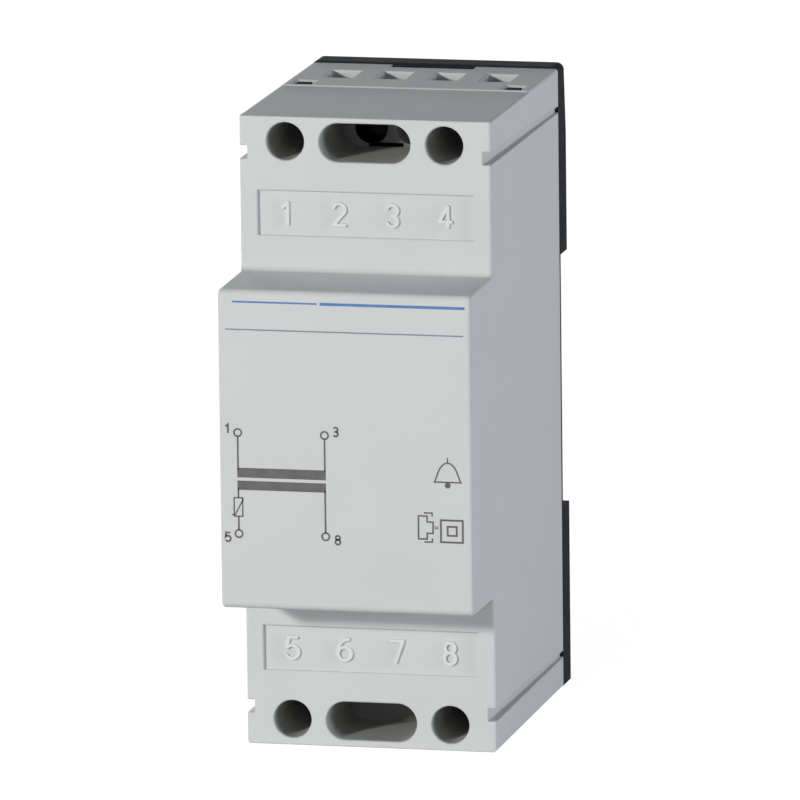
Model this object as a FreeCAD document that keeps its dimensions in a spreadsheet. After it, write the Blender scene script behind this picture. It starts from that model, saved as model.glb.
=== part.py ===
import FreeCAD, Part
import math
import os
import re
import Sketcher

# A doorbell transformer for a 35 mm rail, two modules wide.
# X runs to the right, the front looks along -Y and Z points up. The origin is under the middle
# of the whole depth, on the plane that the housing stands on. Sizes are in millimetres.

SIZES = {
    # housing, seen from the front
    "housing_width": 36.0,
    "housing_height": 90.0,
    "shoulder_depth": 44.0,  # shoulder plane to the housing's rear edge
    "nose_depth": 14.0,  # how far the nose stands in front of the shoulders
    "nose_height": 45.9,
    "nose_draft": 0.3,
    "nose_radius": 1.0,
    "crease_radius": 0.9,
    "edge_radius": 0.45,
    # housing walls
    "side_wall": 1.6,
    "end_wall": 1.3,
    "shoulder_wall": 2.0,
    "nose_wall": 1.8,
    # terminal positions at each end
    "terminal_inset": 6.6,  # axis of the outer terminals from the sides
    "access_inset": 3.7,  # screw axis from the end face
    "access_diameter": 5.5,
    "chamber_from_rear": 24.0,
    "pocket_back": 6.6,  # wall behind the long pocket over the two middle positions
    "pocket_diameter": 5.6,
    "inner_access_diameter": 5.0,
    "spare_diameter": 4.8,
    "spare_offset": 2.1,  # blind hole in the back of the upper pocket, from the middle
    "slit_length": 5.0,
    "slit_height": 0.65,
    "chamber_width": 5.2,
    "chamber_height": 5.6,
    "chamber_floor": 1.2,
    # number panels
    "panel_margin": 2.5,
    "panel_height": 6.4,
    "panel_inset": 10.7,
    "panel_recess": 0.5,
    "digit_height": 3.5,
    "digit_width": 2.1,
    "digit_stroke": 0.45,
    "digit_relief": 0.35,
    # side grooves, wide at the front and narrow at the rear
    "groove_inset": 4.4,
    "groove_height": 1.9,
    "groove_cut": 1.15,
    "groove_rear_height": 0.9,
    "groove_rear_cut": 0.5,
    # ends: wire entries, latch windows, tab notch, raised rear part of the top
    "wire_width": 4.4,
    "wire_depth": 6.5,
    "wire_from_rear": 5.7,
    "window_side": 2.8,  # middle of a latch window from the side
    "window_width": 2.1,
    "window_depth": 3.0,
    "window_from_rear": 15.0,
    "window_rim": 0.5,
    "tab_width": 12.3,
    "tab_depth": 2.2,
    "step_height": 0.2,
    "step_depth": 25.2,
    # base
    "foot_depth": 5.0,  # housing's rear edge to the back of the base
    "cover_thickness": 0.8,
    "plug_thickness": 2.0,
    "cover_inset": 0.15,
    "cover_rise": 0.3,  # how far the cover stands above the housing
    "cover_radius": 1.0,
    "bevel_height": 10.0,
    "bevel_drop": 1.1,
    "arm_width": 1.9,
    "arm_thickness": 1.3,
    "hook_length": 2.4,
    "hook_sink": 0.15,  # how deep a hook stays in its window
    "post_width": 12.0,
    "post_height": 4.0,
    "coring_width": 6.6,
    "coring_rib": 1.4,
    "coring_depth": 3.0,
    "coring_margin": 2.0,
    # rail and what grips it
    "rail_height": 35.0,
    "rail_flange": 1.0,
    "rail_play": 0.2,
    "upper_gap": 0.5,
    "lower_gap": 1.2,
    "lip_reach": 1.7,
    "lip_width": 10.0,
    "lip_middle": 9.5,
    # rail latch and its spring
    "latch_width": 13.6,
    "latch_neck": 9.6,
    "latch_flange": 1.4,
    "latch_tail": 0.4,
    "latch_overlap": 1.5,
    "latch_travel": 3.0,
    "latch_shoulder": 1.7,
    "latch_window_width": 5.6,
    "latch_window_foot": 7.5,
    "latch_window_head": 20.0,
    "pull_slot_width": 5.0,
    "pull_slot_height": 2.0,
    "pull_slot_foot": 2.0,
    "peg_height": 1.8,
    "spring_thickness": 0.5,
    "spring_width": 4.6,
    "spring_depth": 2.8,
    # clearances
    "fit_gap": 0.1,
    "slide_gap": 0.2,
    "rest_gap": 0.05,
    "thread_gap": 0.06,
    # terminals
    "head_gap": 0.2,
    "head_diameter": 4.6,
    "head_thickness": 2.0,
    "head_slot_width": 0.8,
    "head_slot_depth": 1.0,
    "screw_diameter": 3.5,
    "bar_from_rear": 13.0,
    "bar_thickness": 1.2,
    "bar_width": 3.6,
    "bar_tail": 12.0,
    "cage_width": 4.9,
    "cage_height": 5.0,
    "cage_side": 0.4,
    "cage_plate": 1.5,
    "cage_from_rear": 15.7,
    "jaw_from_rear": 5.5,
    "cage_jaw_thickness": 1.0,
    # transformer core, bobbin and coils
    "core_side_room": 3.0,  # from the axis of the outer leads to the core
    "core_play": 0.3,
    "core_end_room": 1.15,
    "post_length": 5.9,
    "bobbin_wall": 0.8,
    "bobbin_flange": 1.0,
    "bobbin_play": 0.15,
    "coil_margin": 0.6,
    "coil_radius": 2.5,
    # leads and thermistor
    "lead_diameter": 1.2,
    "lead_bend": 1.0,
    "thermistor_diameter": 5.0,
    "thermistor_thickness": 2.0,
    "thermistor_height": 21.0,
}

# Places worked out from the sizes. Depths are Y values, and heights are Z values.
PLACES = {
    "nose_front": "(-(nose_depth + shoulder_depth + foot_depth) / 2)",
    "shoulder": "(nose_front + nose_depth)",
    "housing_rear": "(shoulder + shoulder_depth)",
    "rail_plane": "(housing_rear + cover_thickness)",
    "base_back": "(housing_rear + foot_depth)",
    "plug_face": "(housing_rear - plug_thickness)",
    "half_width": "(housing_width / 2)",
    "inner_side": "(half_width - side_wall)",
    "mid_height": "(housing_height / 2)",
    "nose_half": "(nose_height / 2)",
    "chamber_end": "(end_wall + chamber_height)",
    "floor_end": "(chamber_end + chamber_floor)",
    "terminal_pitch": "((half_width - terminal_inset) / 1.5)",
    "panel_length": "(housing_width - 2 * panel_margin)",
    "window_offset": "(half_width - window_side)",
    "access_radius": "(access_diameter / 2)",
    "chamber_front": "(housing_rear - chamber_from_rear)",
    "pocket_rear": "(chamber_front - pocket_back)",
    "wire_rear": "(housing_rear - wire_from_rear)",
    "window_rear": "(housing_rear - window_from_rear)",
    "bar_front": "(housing_rear - bar_from_rear)",
    "bar_rear": "(bar_front + bar_thickness)",
    "cage_front": "(housing_rear - cage_from_rear)",
    "cage_jaw": "(housing_rear - jaw_from_rear)",
    "head_front": "(chamber_front + head_gap)",
    "head_rear": "(head_front + head_thickness)",
    "lip_front": "(rail_plane + rail_flange + rail_play)",
    "upper_block": "(mid_height + rail_height / 2 + upper_gap)",
    "lower_block": "(mid_height - rail_height / 2 - lower_gap)",
    "latch_front": "(rail_plane + fit_gap)",
    "latch_back": "(base_back - fit_gap)",
    "latch_neck_front": "(lip_front + fit_gap)",
    "latch_flange_rear": "(latch_front + latch_flange)",
    "latch_top": "(mid_height - rail_height / 2 + latch_overlap)",
    "peg_foot": "(latch_window_foot + fit_gap)",
    "peg_head": "(peg_foot + peg_height)",
    "core_stack": "(2 * (1.5 * terminal_pitch - core_side_room))",
    "leg_in_depth": "((plug_face - nose_front - nose_wall - core_play - post_length) / 6)",
    "leg_in_height": "((nose_height - 2 * nose_wall - 2 * core_end_room) / 5)",
    "core_leg": "min(leg_in_depth; leg_in_height)",
    "core_window": "(3 * core_leg)",
    "core_depth": "(6 * core_leg)",
    "core_front": "(nose_front + nose_wall + core_play)",
    "core_rear": "(core_front + core_depth)",
    "core_middle": "(core_front + core_depth / 2)",
    "core_foot": "(mid_height - core_window / 2 - core_leg)",
    "window_foot": "(core_foot + core_leg)",
    "window_head": "(window_foot + core_window)",
    "core_head": "(window_head + core_leg)",
    "flange_depth": "(2 * core_leg - slide_gap)",
    "flange_side": "(inner_side - 2 * core_play + fit_gap)",
    "coil_side": "(flange_side - slide_gap)",
    "coil_depth": "(flange_depth - coil_margin)",
    "coil_rear": "(core_middle + coil_depth)",
    "lead_radius": "(lead_diameter / 2)",
}

# Terminal number: the end that it is at, and its place in pitches from the middle.
TERMINALS = {1: ("top", -1.5), 3: ("top", 0.5), 5: ("bottom", -1.5), 8: ("bottom", 1.5)}
POSITIONS = (-1.5, -0.5, 0.5, 1.5)
ENDS = ("bottom", "top")

vector = FreeCAD.Vector
doc = FreeCAD.newDocument("DoorbellTransformer")
sheet = doc.addObject("Spreadsheet::Sheet", "Sizes")
for row, (alias, number) in enumerate(SIZES.items(), 1):
    sheet.set(f"A{row}", str(number))
    sheet.setAlias(f"A{row}", alias)
doc.recompute()

parts = {}


def bound(text):
    """The expression for a place: its names spelled out until only sheet cells are left."""
    words = re.compile(r"[a-z][a-z_]+")
    while any(word in PLACES for word in words.findall(text)):
        text = words.sub(lambda m: PLACES.get(m.group(), m.group()), text)
    return words.sub(lambda m: "Sizes." + m.group() if m.group() in SIZES else m.group(), text)


def measure(text):
    """The same place as a number, read from a box whose length is bound to it."""
    gauge.setExpression("Length", bound(f"({text}) + {GAUGE_OFFSET}"))
    gauge.recompute()
    return float(gauge.Length) - GAUGE_OFFSET


GAUGE_OFFSET = 1000.0
gauge = doc.addObject("Part::Box", "Gauge")


def keep(name, made):
    """Marks a finished sub-part and gives it the name of its file."""
    made.Label = name
    parts[name] = made
    return made


def block(name, x, y, z):
    """A box between two places on each axis."""
    made = doc.addObject("Part::Box", name)
    for side, axis, (low, high) in (("Length", "x", x), ("Width", "y", y), ("Height", "z", z)):
        made.setExpression(side, bound(f"({high}) - ({low})"))
        made.setExpression(f"Placement.Base.{axis}", bound(low))
    return made


def rod(name, radius, x, z, y):
    """A cylinder along Y between two depths."""
    made = doc.addObject("Part::Cylinder", name)
    made.Placement = FreeCAD.Placement(vector(), FreeCAD.Rotation(vector(1, 0, 0), -90))
    made.setExpression("Radius", bound(radius))
    made.setExpression("Height", bound(f"({y[1]}) - ({y[0]})"))
    for axis, place in (("x", x), ("y", y[0]), ("z", z)):
        made.setExpression(f"Placement.Base.{axis}", bound(place))
    return made


def wedge(name, turn, places, spans):
    """A tapering block. spans gives its Wedge properties, before a turn about X by that angle."""
    made = doc.addObject("Part::Wedge", name)
    made.Placement = FreeCAD.Placement(vector(), FreeCAD.Rotation(vector(1, 0, 0), turn))
    for prop, text in spans.items():
        made.setExpression(prop, bound(text))
    for axis, place in zip("xyz", places):
        made.setExpression(f"Placement.Base.{axis}", bound(place))
    return made


def fuse(name, shapes):
    made = doc.addObject("Part::MultiFuse", name)
    made.Shapes = shapes
    made.Refine = True
    return made


def cut(name, base, tools):
    made = doc.addObject("Part::Cut", name)
    made.Base = base
    made.Tool = tools[0] if len(tools) == 1 else fuse(name + "Tools", tools)
    made.Refine = True
    return made


def mirrored(text):
    return f"-({text})"


def both_sides(make, low, high):
    """Makes a piece on the right, then its twin on the left, from two X places."""
    return [make("Right", (low, high)), make("Left", (mirrored(high), mirrored(low)))]


def height(end, inset):
    """The height of a place that lies this far in from one end of the housing."""
    return f"({inset})" if end == "bottom" else f"(housing_height - ({inset}))"


def heights(end, low, high):
    """Two insets from an end as a span of heights, lowest first."""
    span = (height(end, low), height(end, high))
    return span if end == "bottom" else span[::-1]


def position(pitches):
    return f"({pitches} * terminal_pitch)"


def about(middle, width):
    """A span of this width about a middle place."""
    return (f"{middle} - ({width}) / 2", f"{middle} + ({width}) / 2")


def outline(body, name, plane, points):
    """A closed sketch of straight lines on an origin plane of its body, its corners bound to places."""
    sketch = body.newObject("Sketcher::SketchObject", name)
    flat = next(f for f in body.Origin.OriginFeatures if f.Role == plane)
    sketch.AttachmentSupport = (flat, [""])
    sketch.MapMode = "FlatFace"
    corners = [(measure(a), measure(b)) for a, b in points]
    count = len(points)
    for i in range(count):
        start, end = vector(*corners[i], 0), vector(*corners[(i + 1) % count], 0)
        sketch.addGeometry(Part.LineSegment(start, end))
    for i in range(count):
        sketch.addConstraint(Sketcher.Constraint("Coincident", i, 2, (i + 1) % count, 1))
    for i in range(count):
        for kind, now, text in zip(("DistanceX", "DistanceY"), corners[i], points[i]):
            made = sketch.addConstraint(Sketcher.Constraint(kind, -1, 1, i, 1, now))
            sketch.setExpression(f"Constraints[{made}]", bound(text))
    return sketch


def padded(name, points, width):
    """A body padded from a side outline (depth, height), the same width on both sides of X 0."""
    body = doc.addObject("PartDesign::Body", name)
    pad = body.newObject("PartDesign::Pad", name + "Pad")
    pad.Profile = outline(body, name + "Outline", "YZ_Plane", points)
    pad.Midplane = True
    pad.setExpression("Length", bound(width))
    doc.recompute()
    return body


def round_edges(body, name, radius, wanted):
    """Adds a fillet to the edges of the body so far that pass the test."""
    last = body.Tip
    names = [f"Edge{i}" for i, e in enumerate(last.Shape.Edges, 1) if wanted(e)]
    made = body.newObject("PartDesign::Fillet", name)
    made.Base = (last, names)
    made.setExpression("Radius", bound(radius))
    doc.recompute()
    return made


def runs_along(edge, axis):
    """Whether an edge is straight and parallel to this axis."""
    box = edge.BoundBox
    spans = {"x": box.XLength, "y": box.YLength, "z": box.ZLength}
    return spans.pop(axis) > 0.01 and max(spans.values()) < 0.001


def near(a, b):
    return abs(a - b) < 0.001


# Numerals. Each stroke is a row of lines and arcs in a plane, widened to the stroke's thickness.


def arc(middle, radius, start, end):
    """An arc from one angle to another, in degrees, either way round."""
    turns = [math.radians(start + (end - start) * share) for share in (0, 0.5, 1)]
    points = [vector(middle[0] + radius * math.cos(t), middle[1] + radius * math.sin(t), 0) for t in turns]
    return Part.Arc(*points).toShape()


def lines(*points):
    corners = [vector(*p, 0) for p in points]
    return [Part.LineSegment(a, b).toShape() for a, b in zip(corners, corners[1:])]


def stroke(edges, width):
    return Part.Wire(edges).makeOffset2D(width / 2, 0, True, False, False)


def ring(middle, radius, width):
    circles = [
        Part.Wire(Part.makeCircle(radius + side * width / 2, vector(*middle, 0))) for side in (1, -1)
    ]
    return Part.Face(circles[0]).cut(Part.Face(circles[1]))


def numeral(digit, tall, wide, width):
    """The flat strokes of one numeral, its centreline tall by wide, standing on the X axis."""
    half, bowl = wide / 2, 0.31 * tall
    if digit == 1:
        return [stroke(lines((-0.3 * wide, 0.76 * tall), (0.1 * wide, tall), (0.1 * wide, 0)), width)]
    if digit == 2:
        top = arc((0, tall - half), half, 165, -35)
        last = top.Vertexes[-1].Point
        return [stroke([top, *lines((last.x, last.y), (-half, 0), (half, 0))], width)]
    if digit == 3:
        radius = tall / 4
        upper = arc((0, tall - radius), radius, 155, -90)
        lower = arc((0, radius), radius, 90, -155)
        return [stroke([upper], width), stroke([lower], width)]
    if digit == 4:
        upright = 0.22 * wide
        slope = lines((upright, tall), (-half, 0.3 * tall), (half, 0.3 * tall))
        post = Part.Face(Part.makePlane(width, tall, vector(upright - width / 2, 0, 0)).OuterWire)
        return [stroke(slope, width), post]
    if digit == 5:
        belly = arc((0, bowl), bowl, 140, -150)
        first = belly.Vertexes[0].Point
        hat = lines((0.42 * wide, tall), (-0.3 * wide, tall), (first.x, first.y))
        return [stroke(hat, width), stroke([belly], width)]
    if digit == 6:
        tail = Part.Arc(
            vector(-bowl, bowl, 0), vector(-0.55 * bowl, 0.82 * tall, 0), vector(0.6 * bowl, tall, 0)
        ).toShape()
        return [ring((0, bowl), bowl, width), stroke([tail], width)]
    if digit == 7:
        return [stroke(lines((-half, tall), (half, tall), (-0.15 * wide, 0)), width)]
    upper = 0.235 * tall
    lower = tall / 2 - upper
    return [ring((0, tall - upper), upper, width), ring((0, lower), lower, width)]


def numerals(end, first):
    """Four raised numerals on the floor of one number panel."""
    width = measure("digit_stroke")
    tall, wide = measure("digit_height") - width, measure("digit_width") - width
    floor, relief = measure("shoulder + panel_recess"), measure("digit_relief")
    middle = measure(height(end, "panel_inset + panel_height / 2"))
    root = measure("rest_gap")
    turn = FreeCAD.Rotation(vector(1, 0, 0), 90)
    made = []
    for digit, pitches in enumerate(POSITIONS, first):
        at = vector(measure(position(pitches)), floor + root, middle - tall / 2)
        solids = [f.extrude(vector(0, 0, relief + root)) for f in numeral(digit, tall, wide, width)]
        whole = solids[0].multiFuse(solids[1:]).removeSplitter() if len(solids) > 1 else solids[0]
        whole.Placement = FreeCAD.Placement(at, turn)
        feature = doc.addObject("Part::Feature", f"Numeral{digit}")
        feature.Shape = whole
        made.append(feature)
    return made


# Housing


def housing_form():
    """The outside of the housing: shoulders, drafted nose and its rounded edges."""
    nose_low, nose_high = "mid_height - nose_half", "mid_height + nose_half"
    body = padded(
        "HousingForm",
        [
            ("shoulder", "0"),
            ("shoulder", nose_low),
            ("nose_front", nose_low + " + nose_draft"),
            ("nose_front", nose_high + " - nose_draft"),
            ("shoulder", nose_high),
            ("shoulder", "housing_height"),
            ("housing_rear", "housing_height"),
            ("housing_rear", "0"),
        ],
        "housing_width",
    )
    front, shoulder = measure("nose_front"), measure("shoulder")
    rear, side = measure("housing_rear"), measure("half_width")
    ends = (0.0, measure("housing_height"))

    def crease(e):
        middle = e.CenterOfMass
        return runs_along(e, "x") and near(middle.y, shoulder) and not any(near(middle.z, z) for z in ends)

    def nose_edge(e):
        return runs_along(e, "x") and near(e.CenterOfMass.y, front)

    def outer_edge(e):
        box = e.BoundBox
        on_side = near(abs(e.CenterOfMass.x), side) and box.XLength < 0.001
        return on_side and not near(box.YMin, rear)

    round_edges(body, "Creases", "crease_radius", crease)
    round_edges(body, "NoseEdges", "nose_radius", nose_edge)
    round_edges(body, "OuterEdges", "edge_radius", outer_edge)
    return body


def housing_room():
    """The space inside the housing: body, nose and the rear opening that the base plugs."""
    inside = ("-inner_side", "inner_side")
    nose_span = ("mid_height - nose_half + nose_wall", "mid_height + nose_half - nose_wall")
    main_span = ("floor_end", "housing_height - floor_end")
    rear_span = ("end_wall", "housing_height - end_wall")
    return [
        block("MainRoom", inside, ("shoulder + shoulder_wall", "housing_rear"), main_span),
        block("NoseRoom", inside, ("nose_front + nose_wall", "shoulder + shoulder_wall"), nose_span),
        block("RearOpening", inside, ("plug_face", "housing_rear"), rear_span),
    ]


def terminal_cuts(end):
    """What is cut for the four terminal positions of one end."""
    axis = height(end, "access_inset")
    cuts = []
    for i, pitches in enumerate(POSITIONS):
        x = position(pitches)
        tag = f"{end.title()}{i}"
        cuts.append(
            block(
                "Chamber" + tag,
                about(x, "chamber_width"),
                ("chamber_front", "plug_face"),
                heights(end, "end_wall", "chamber_end"),
            )
        )
        cuts.append(
            block(
                "BarNotch" + tag,
                about(x, "bar_width + 2 * rest_gap"),
                ("bar_front", "plug_face"),
                heights(end, "chamber_end", "floor_end"),
            )
        )
        cuts.append(
            block(
                "WireEntry" + tag,
                about(x, "wire_width"),
                ("wire_rear - wire_depth", "wire_rear"),
                heights(end, "-step_height", "end_wall"),
            )
        )
        if abs(pitches) > 1:
            cuts.append(rod("Access" + tag, "access_radius", x, axis, ("shoulder", "chamber_front")))
        elif (end, pitches) in TERMINALS.values():
            behind = ("pocket_rear", "chamber_front")
            cuts.append(rod("Access" + tag, "inner_access_diameter / 2", x, axis, behind))
    return cuts + pocket_cuts(end)


def pocket_cuts(end):
    """The long pocket over the two middle positions, and the spare hole and slit in its back wall."""
    axis = height(end, "access_inset")
    span = ("shoulder", "pocket_rear")
    inner = position(0.5)
    cuts = [
        rod(f"Pocket{end.title()}{i}", "pocket_diameter / 2", f"{sign}{inner}", axis, span)
        for i, sign in enumerate(("-", ""))
    ]
    width = f"2 * {inner}"
    tall = about(axis, "pocket_diameter")
    cuts.append(block("Pocket" + end.title(), about("0", width), span, tall))
    if end == "top":
        foot = (f"{axis} - pocket_diameter / 2", f"{axis} - pocket_diameter / 2 + slit_height")
        behind = ("pocket_rear", "chamber_front")
        cuts.append(block("Slit", about("0", "slit_length"), behind, foot))
        cuts.append(rod("SpareHole", "spare_diameter / 2", "-spare_offset", axis, behind))
    return cuts


def end_cuts(end):
    """Latch windows, the channels of the snap arms and the notch for the base's tab."""
    name = end.title()
    outward = 90 if end == "top" else -90
    cuts = []

    def channel(side, x):
        return block(
            f"ArmChannel{name}{side}",
            x,
            ("window_rear - window_depth - window_rim", "plug_face"),
            heights(end, "end_wall", "end_wall + 3 * slide_gap + arm_thickness"),
        )

    def window(side, x):
        span = ("window_rear - window_depth", "window_rear")
        return block(f"Window{name}{side}", x, span, heights(end, "0", "end_wall"))

    cuts += both_sides(channel, "window_offset - window_width / 2", "inner_side")
    cuts += both_sides(
        window, "window_offset - window_width / 2", "window_offset + window_width / 2"
    )
    for side, sign in (("Right", ""), ("Left", "-")):
        places = (
            f"{sign}window_offset",
            "window_rear - window_depth / 2",
            height(end, "window_rim"),
        )
        spans = {
            "Xmin": "-window_width / 2",
            "Xmax": "window_width / 2",
            "Zmin": "-window_depth / 2",
            "Zmax": "window_depth / 2",
            "Ymin": "0",
            "Ymax": "window_rim",
            "X2min": "-window_width / 2 - window_rim",
            "X2max": "window_width / 2 + window_rim",
            "Z2min": "-window_depth / 2 - window_rim",
            "Z2max": "window_depth / 2 + window_rim",
        }
        cuts.append(wedge(f"WindowRim{name}{side}", outward, places, spans))
    notch = ("housing_rear - tab_depth", "housing_rear")
    cuts.append(block("TabNotch" + name, about("0", "tab_width"), notch, heights(end, "0", "end_wall")))
    return cuts


def panel(end):
    span = heights(end, "panel_inset", "panel_inset + panel_height")
    return block(
        "Panel" + end.title(), about("0", "panel_length"), ("shoulder", "shoulder + panel_recess"), span
    )


def grooves(end):
    """The tapering grooves in both sides near one end. Their lower edge runs straight back."""
    foot = heights(end, "groove_inset", "groove_inset + groove_height")[0]
    out = "slide_gap"
    spans = {
        "right": {"Xmin": "-groove_cut", "Xmax": out, "X2min": "-groove_rear_cut", "X2max": out},
        "left": {"Xmin": f"-{out}", "Xmax": "groove_cut", "X2min": f"-{out}", "X2max": "groove_rear_cut"},
    }
    rise = {"Zmin": "0", "Zmax": "groove_height", "Z2min": "0", "Z2max": "groove_rear_height"}
    cuts = []
    for side, face in (("right", "half_width"), ("left", "-half_width")):
        span = {"Ymin": "0", "Ymax": "shoulder_depth", **spans[side], **rise}
        cuts.append(wedge(f"Groove{end.title()}{side.title()}", 0, (face, "shoulder", foot), span))
    return cuts


def make_housing():
    cuts = housing_room()
    for end in ENDS:
        cuts += terminal_cuts(end)
        cuts += end_cuts(end)
        cuts += grooves(end)
        cuts.append(panel(end))
    cuts.append(
        block(
            "TopStep",
            ("-half_width", "half_width"),
            ("shoulder", "shoulder + step_depth"),
            ("housing_height - step_height", "housing_height"),
        )
    )
    shell = cut("HousingShell", housing_form(), cuts)
    keep("housing", fuse("Housing", [shell, *numerals("top", 1), *numerals("bottom", 5)]))


# Base with its rail hooks, snap arms and the bed of the latch


def base_form():
    """Cover plate with the two blocks that stand above and below the rail."""
    low, high = "cover_inset", "housing_height + cover_rise"
    body = padded(
        "BaseForm",
        [
            ("housing_rear", low),
            ("base_back", low),
            ("base_back", "lower_block"),
            ("rail_plane", "lower_block"),
            ("rail_plane", "upper_block"),
            ("base_back", "upper_block"),
            ("base_back", high + " - bevel_height"),
            ("base_back - bevel_drop", high),
            ("housing_rear", high),
        ],
        "housing_width",
    )
    top, side = measure(high), measure("half_width")

    def top_corner(e):
        middle = e.CenterOfMass
        return runs_along(e, "y") and near(middle.z, top) and near(abs(middle.x), side)

    round_edges(body, "CoverCorners", "cover_radius", top_corner)
    return body


def base_end(end):
    """What the base carries into one end of the housing: tab, snap arms and bar stops."""
    name = end.title()
    tab_x = about("0", "tab_width - 2 * fit_gap")
    tab_front = "housing_rear - tab_depth + fit_gap"
    tab = block("Tab" + name, tab_x, (tab_front, "housing_rear"), heights(end, "cover_inset", "end_wall"))
    root = heights(end, "cover_inset", "end_wall + 2 * fit_gap")
    tab_root = block("TabRoot" + name, tab_x, ("plug_face", "housing_rear"), root)
    inset = "end_wall + slide_gap"
    tip = "window_rear - window_depth + fit_gap"

    def arm(side, x):
        return block(
            f"Arm{name}{side}", x, (tip, "plug_face"), heights(end, inset, inset + " + arm_thickness")
        )

    def hook(side, x):
        span = (tip, tip + " + hook_length")
        return block(f"Hook{name}{side}", x, span, heights(end, "hook_sink", inset))

    arm_x = about("window_offset", "arm_width")
    made = [tab, tab_root, *both_sides(arm, *arm_x), *both_sides(hook, *arm_x)]
    for i, pitches in enumerate(POSITIONS):
        made.append(
            block(
                f"BarStop{name}{i}",
                about(position(pitches), "bar_width - 2 * fit_gap"),
                ("bar_rear + fit_gap", "plug_face"),
                heights(end, "chamber_end + fit_gap", "floor_end - fit_gap"),
            )
        )
    return made


def rail_lips():
    """The two fixed lips that reach behind the upper flange of the rail."""

    def lip(side, x):
        span = ("upper_block - lip_reach", "upper_block")
        return block("RailLip" + side, x, ("lip_front", "base_back"), span)

    return both_sides(lip, *about("lip_middle", "lip_width"))


def corings():
    """Pockets in the back of both blocks, which keep the moulding's walls even."""
    behind = ("base_back - coring_depth", "base_back")
    above = ("upper_block + coring_margin", "housing_height - bevel_height - coring_margin")
    below = ("peg_foot", "lower_block - coring_margin")
    pitch = "(coring_width + coring_rib)"
    pockets = [
        block(f"UpperCoring{i}", about(f"{place} * {pitch}", "coring_width"), behind, above)
        for i, place in enumerate((-1.5, -0.5, 0.5, 1.5))
    ]
    inner = "latch_width / 2 + slide_gap + coring_rib"

    def pocket(side, x):
        return block("LowerCoring" + side, x, behind, below)

    return pockets + both_sides(pocket, inner, inner + " + coring_width")


def core_posts():
    """Posts on the inside that hold the core against the nose."""
    made = []
    for name, foot in (("Low", "core_foot + core_leg / 4"), ("High", "core_head - core_leg / 4 - post_height")):
        span = ("core_rear + fit_gap", "plug_face")
        made.append(block("CorePost" + name, about("0", "post_width"), span, (foot, foot + " + post_height")))
    return made


def make_base():
    plug = block(
        "Plug",
        ("-inner_side + fit_gap", "inner_side - fit_gap"),
        ("plug_face", "housing_rear"),
        ("end_wall + fit_gap", "housing_height - end_wall - fit_gap"),
    )
    pieces = [base_form(), plug, *rail_lips(), *core_posts()]
    for end in ENDS:
        pieces += base_end(end)
    body = fuse("BaseBody", pieces)
    bed = block(
        "LatchBed",
        about("0", "latch_width + 2 * slide_gap"),
        ("rail_plane", "latch_flange_rear + fit_gap"),
        ("0", "lower_block"),
    )
    slot = block(
        "LatchSlot",
        about("0", "latch_neck + 2 * slide_gap"),
        ("latch_flange_rear", "base_back"),
        ("0", "lower_block"),
    )
    peg = block(
        "SpringPeg",
        about("0", "latch_window_width - 4 * slide_gap"),
        ("rail_plane", "latch_back"),
        ("peg_foot", "peg_head"),
    )
    keep("base", fuse("Base", [cut("BaseWithBed", body, [bed, slot, *corings()]), peg]))


def make_latch():
    """The sliding rail latch: a flat slider held by its edges, with a sloping nose at the top."""
    nose = padded(
        "LatchNeck",
        [
            ("latch_neck_front", "latch_tail"),
            ("latch_back", "latch_tail"),
            ("latch_back", "lower_block + fit_gap"),
            ("latch_neck_front + rail_flange", "latch_top"),
            ("latch_neck_front", "latch_top"),
        ],
        "latch_neck",
    )
    flange = block(
        "LatchFlange",
        about("0", "latch_width"),
        ("latch_front", "latch_flange_rear"),
        ("latch_tail", "lower_block - latch_shoulder"),
    )
    window = block(
        "LatchWindow",
        about("0", "latch_window_width"),
        ("latch_front", "latch_back"),
        ("latch_window_foot", "latch_window_head"),
    )
    pull = block(
        "PullSlot",
        about("0", "pull_slot_width"),
        ("latch_front", "latch_back"),
        ("pull_slot_foot", "pull_slot_foot + pull_slot_height"),
    )
    body = fuse("LatchBody", [nose, flange])
    keep("rail_latch", cut("RailLatch", body, [window, pull]))


def make_spring():
    """The strip spring in the latch's window: two straight legs joined by round turns."""
    thick = measure("spring_thickness")
    foot, head = measure("peg_head + rest_gap"), measure("latch_window_head - rest_gap")
    reach = measure("spring_width") / 2
    front, depth = measure("(latch_front + latch_back - spring_depth) / 2"), measure("spring_depth")
    ways = (1, -1, 1, -1, 1)
    rise = (head - foot - thick) / (len(ways) - 1)
    radius = rise / 2
    run = reach - radius - thick / 2
    edges = []
    for i, way in enumerate(ways):
        z = foot + thick / 2 + i * rise
        edges.append(Part.LineSegment(vector(-way * run, 0, z), vector(way * run, 0, z)).toShape())
        if i < len(ways) - 1:
            turn = [vector(way * run, 0, z), vector(way * (run + radius), 0, z + radius)]
            edges.append(Part.Arc(*turn, vector(way * run, 0, z + rise)).toShape())
    strip = Part.Wire(edges).makeOffset2D(thick / 2, 2, True, False, False)
    strip.translate(vector(0, front, 0))
    made = doc.addObject("Part::Feature", "LatchSpring")
    made.Shape = strip.extrude(vector(0, depth, 0))
    keep("latch_spring", made)


# Terminals


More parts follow.
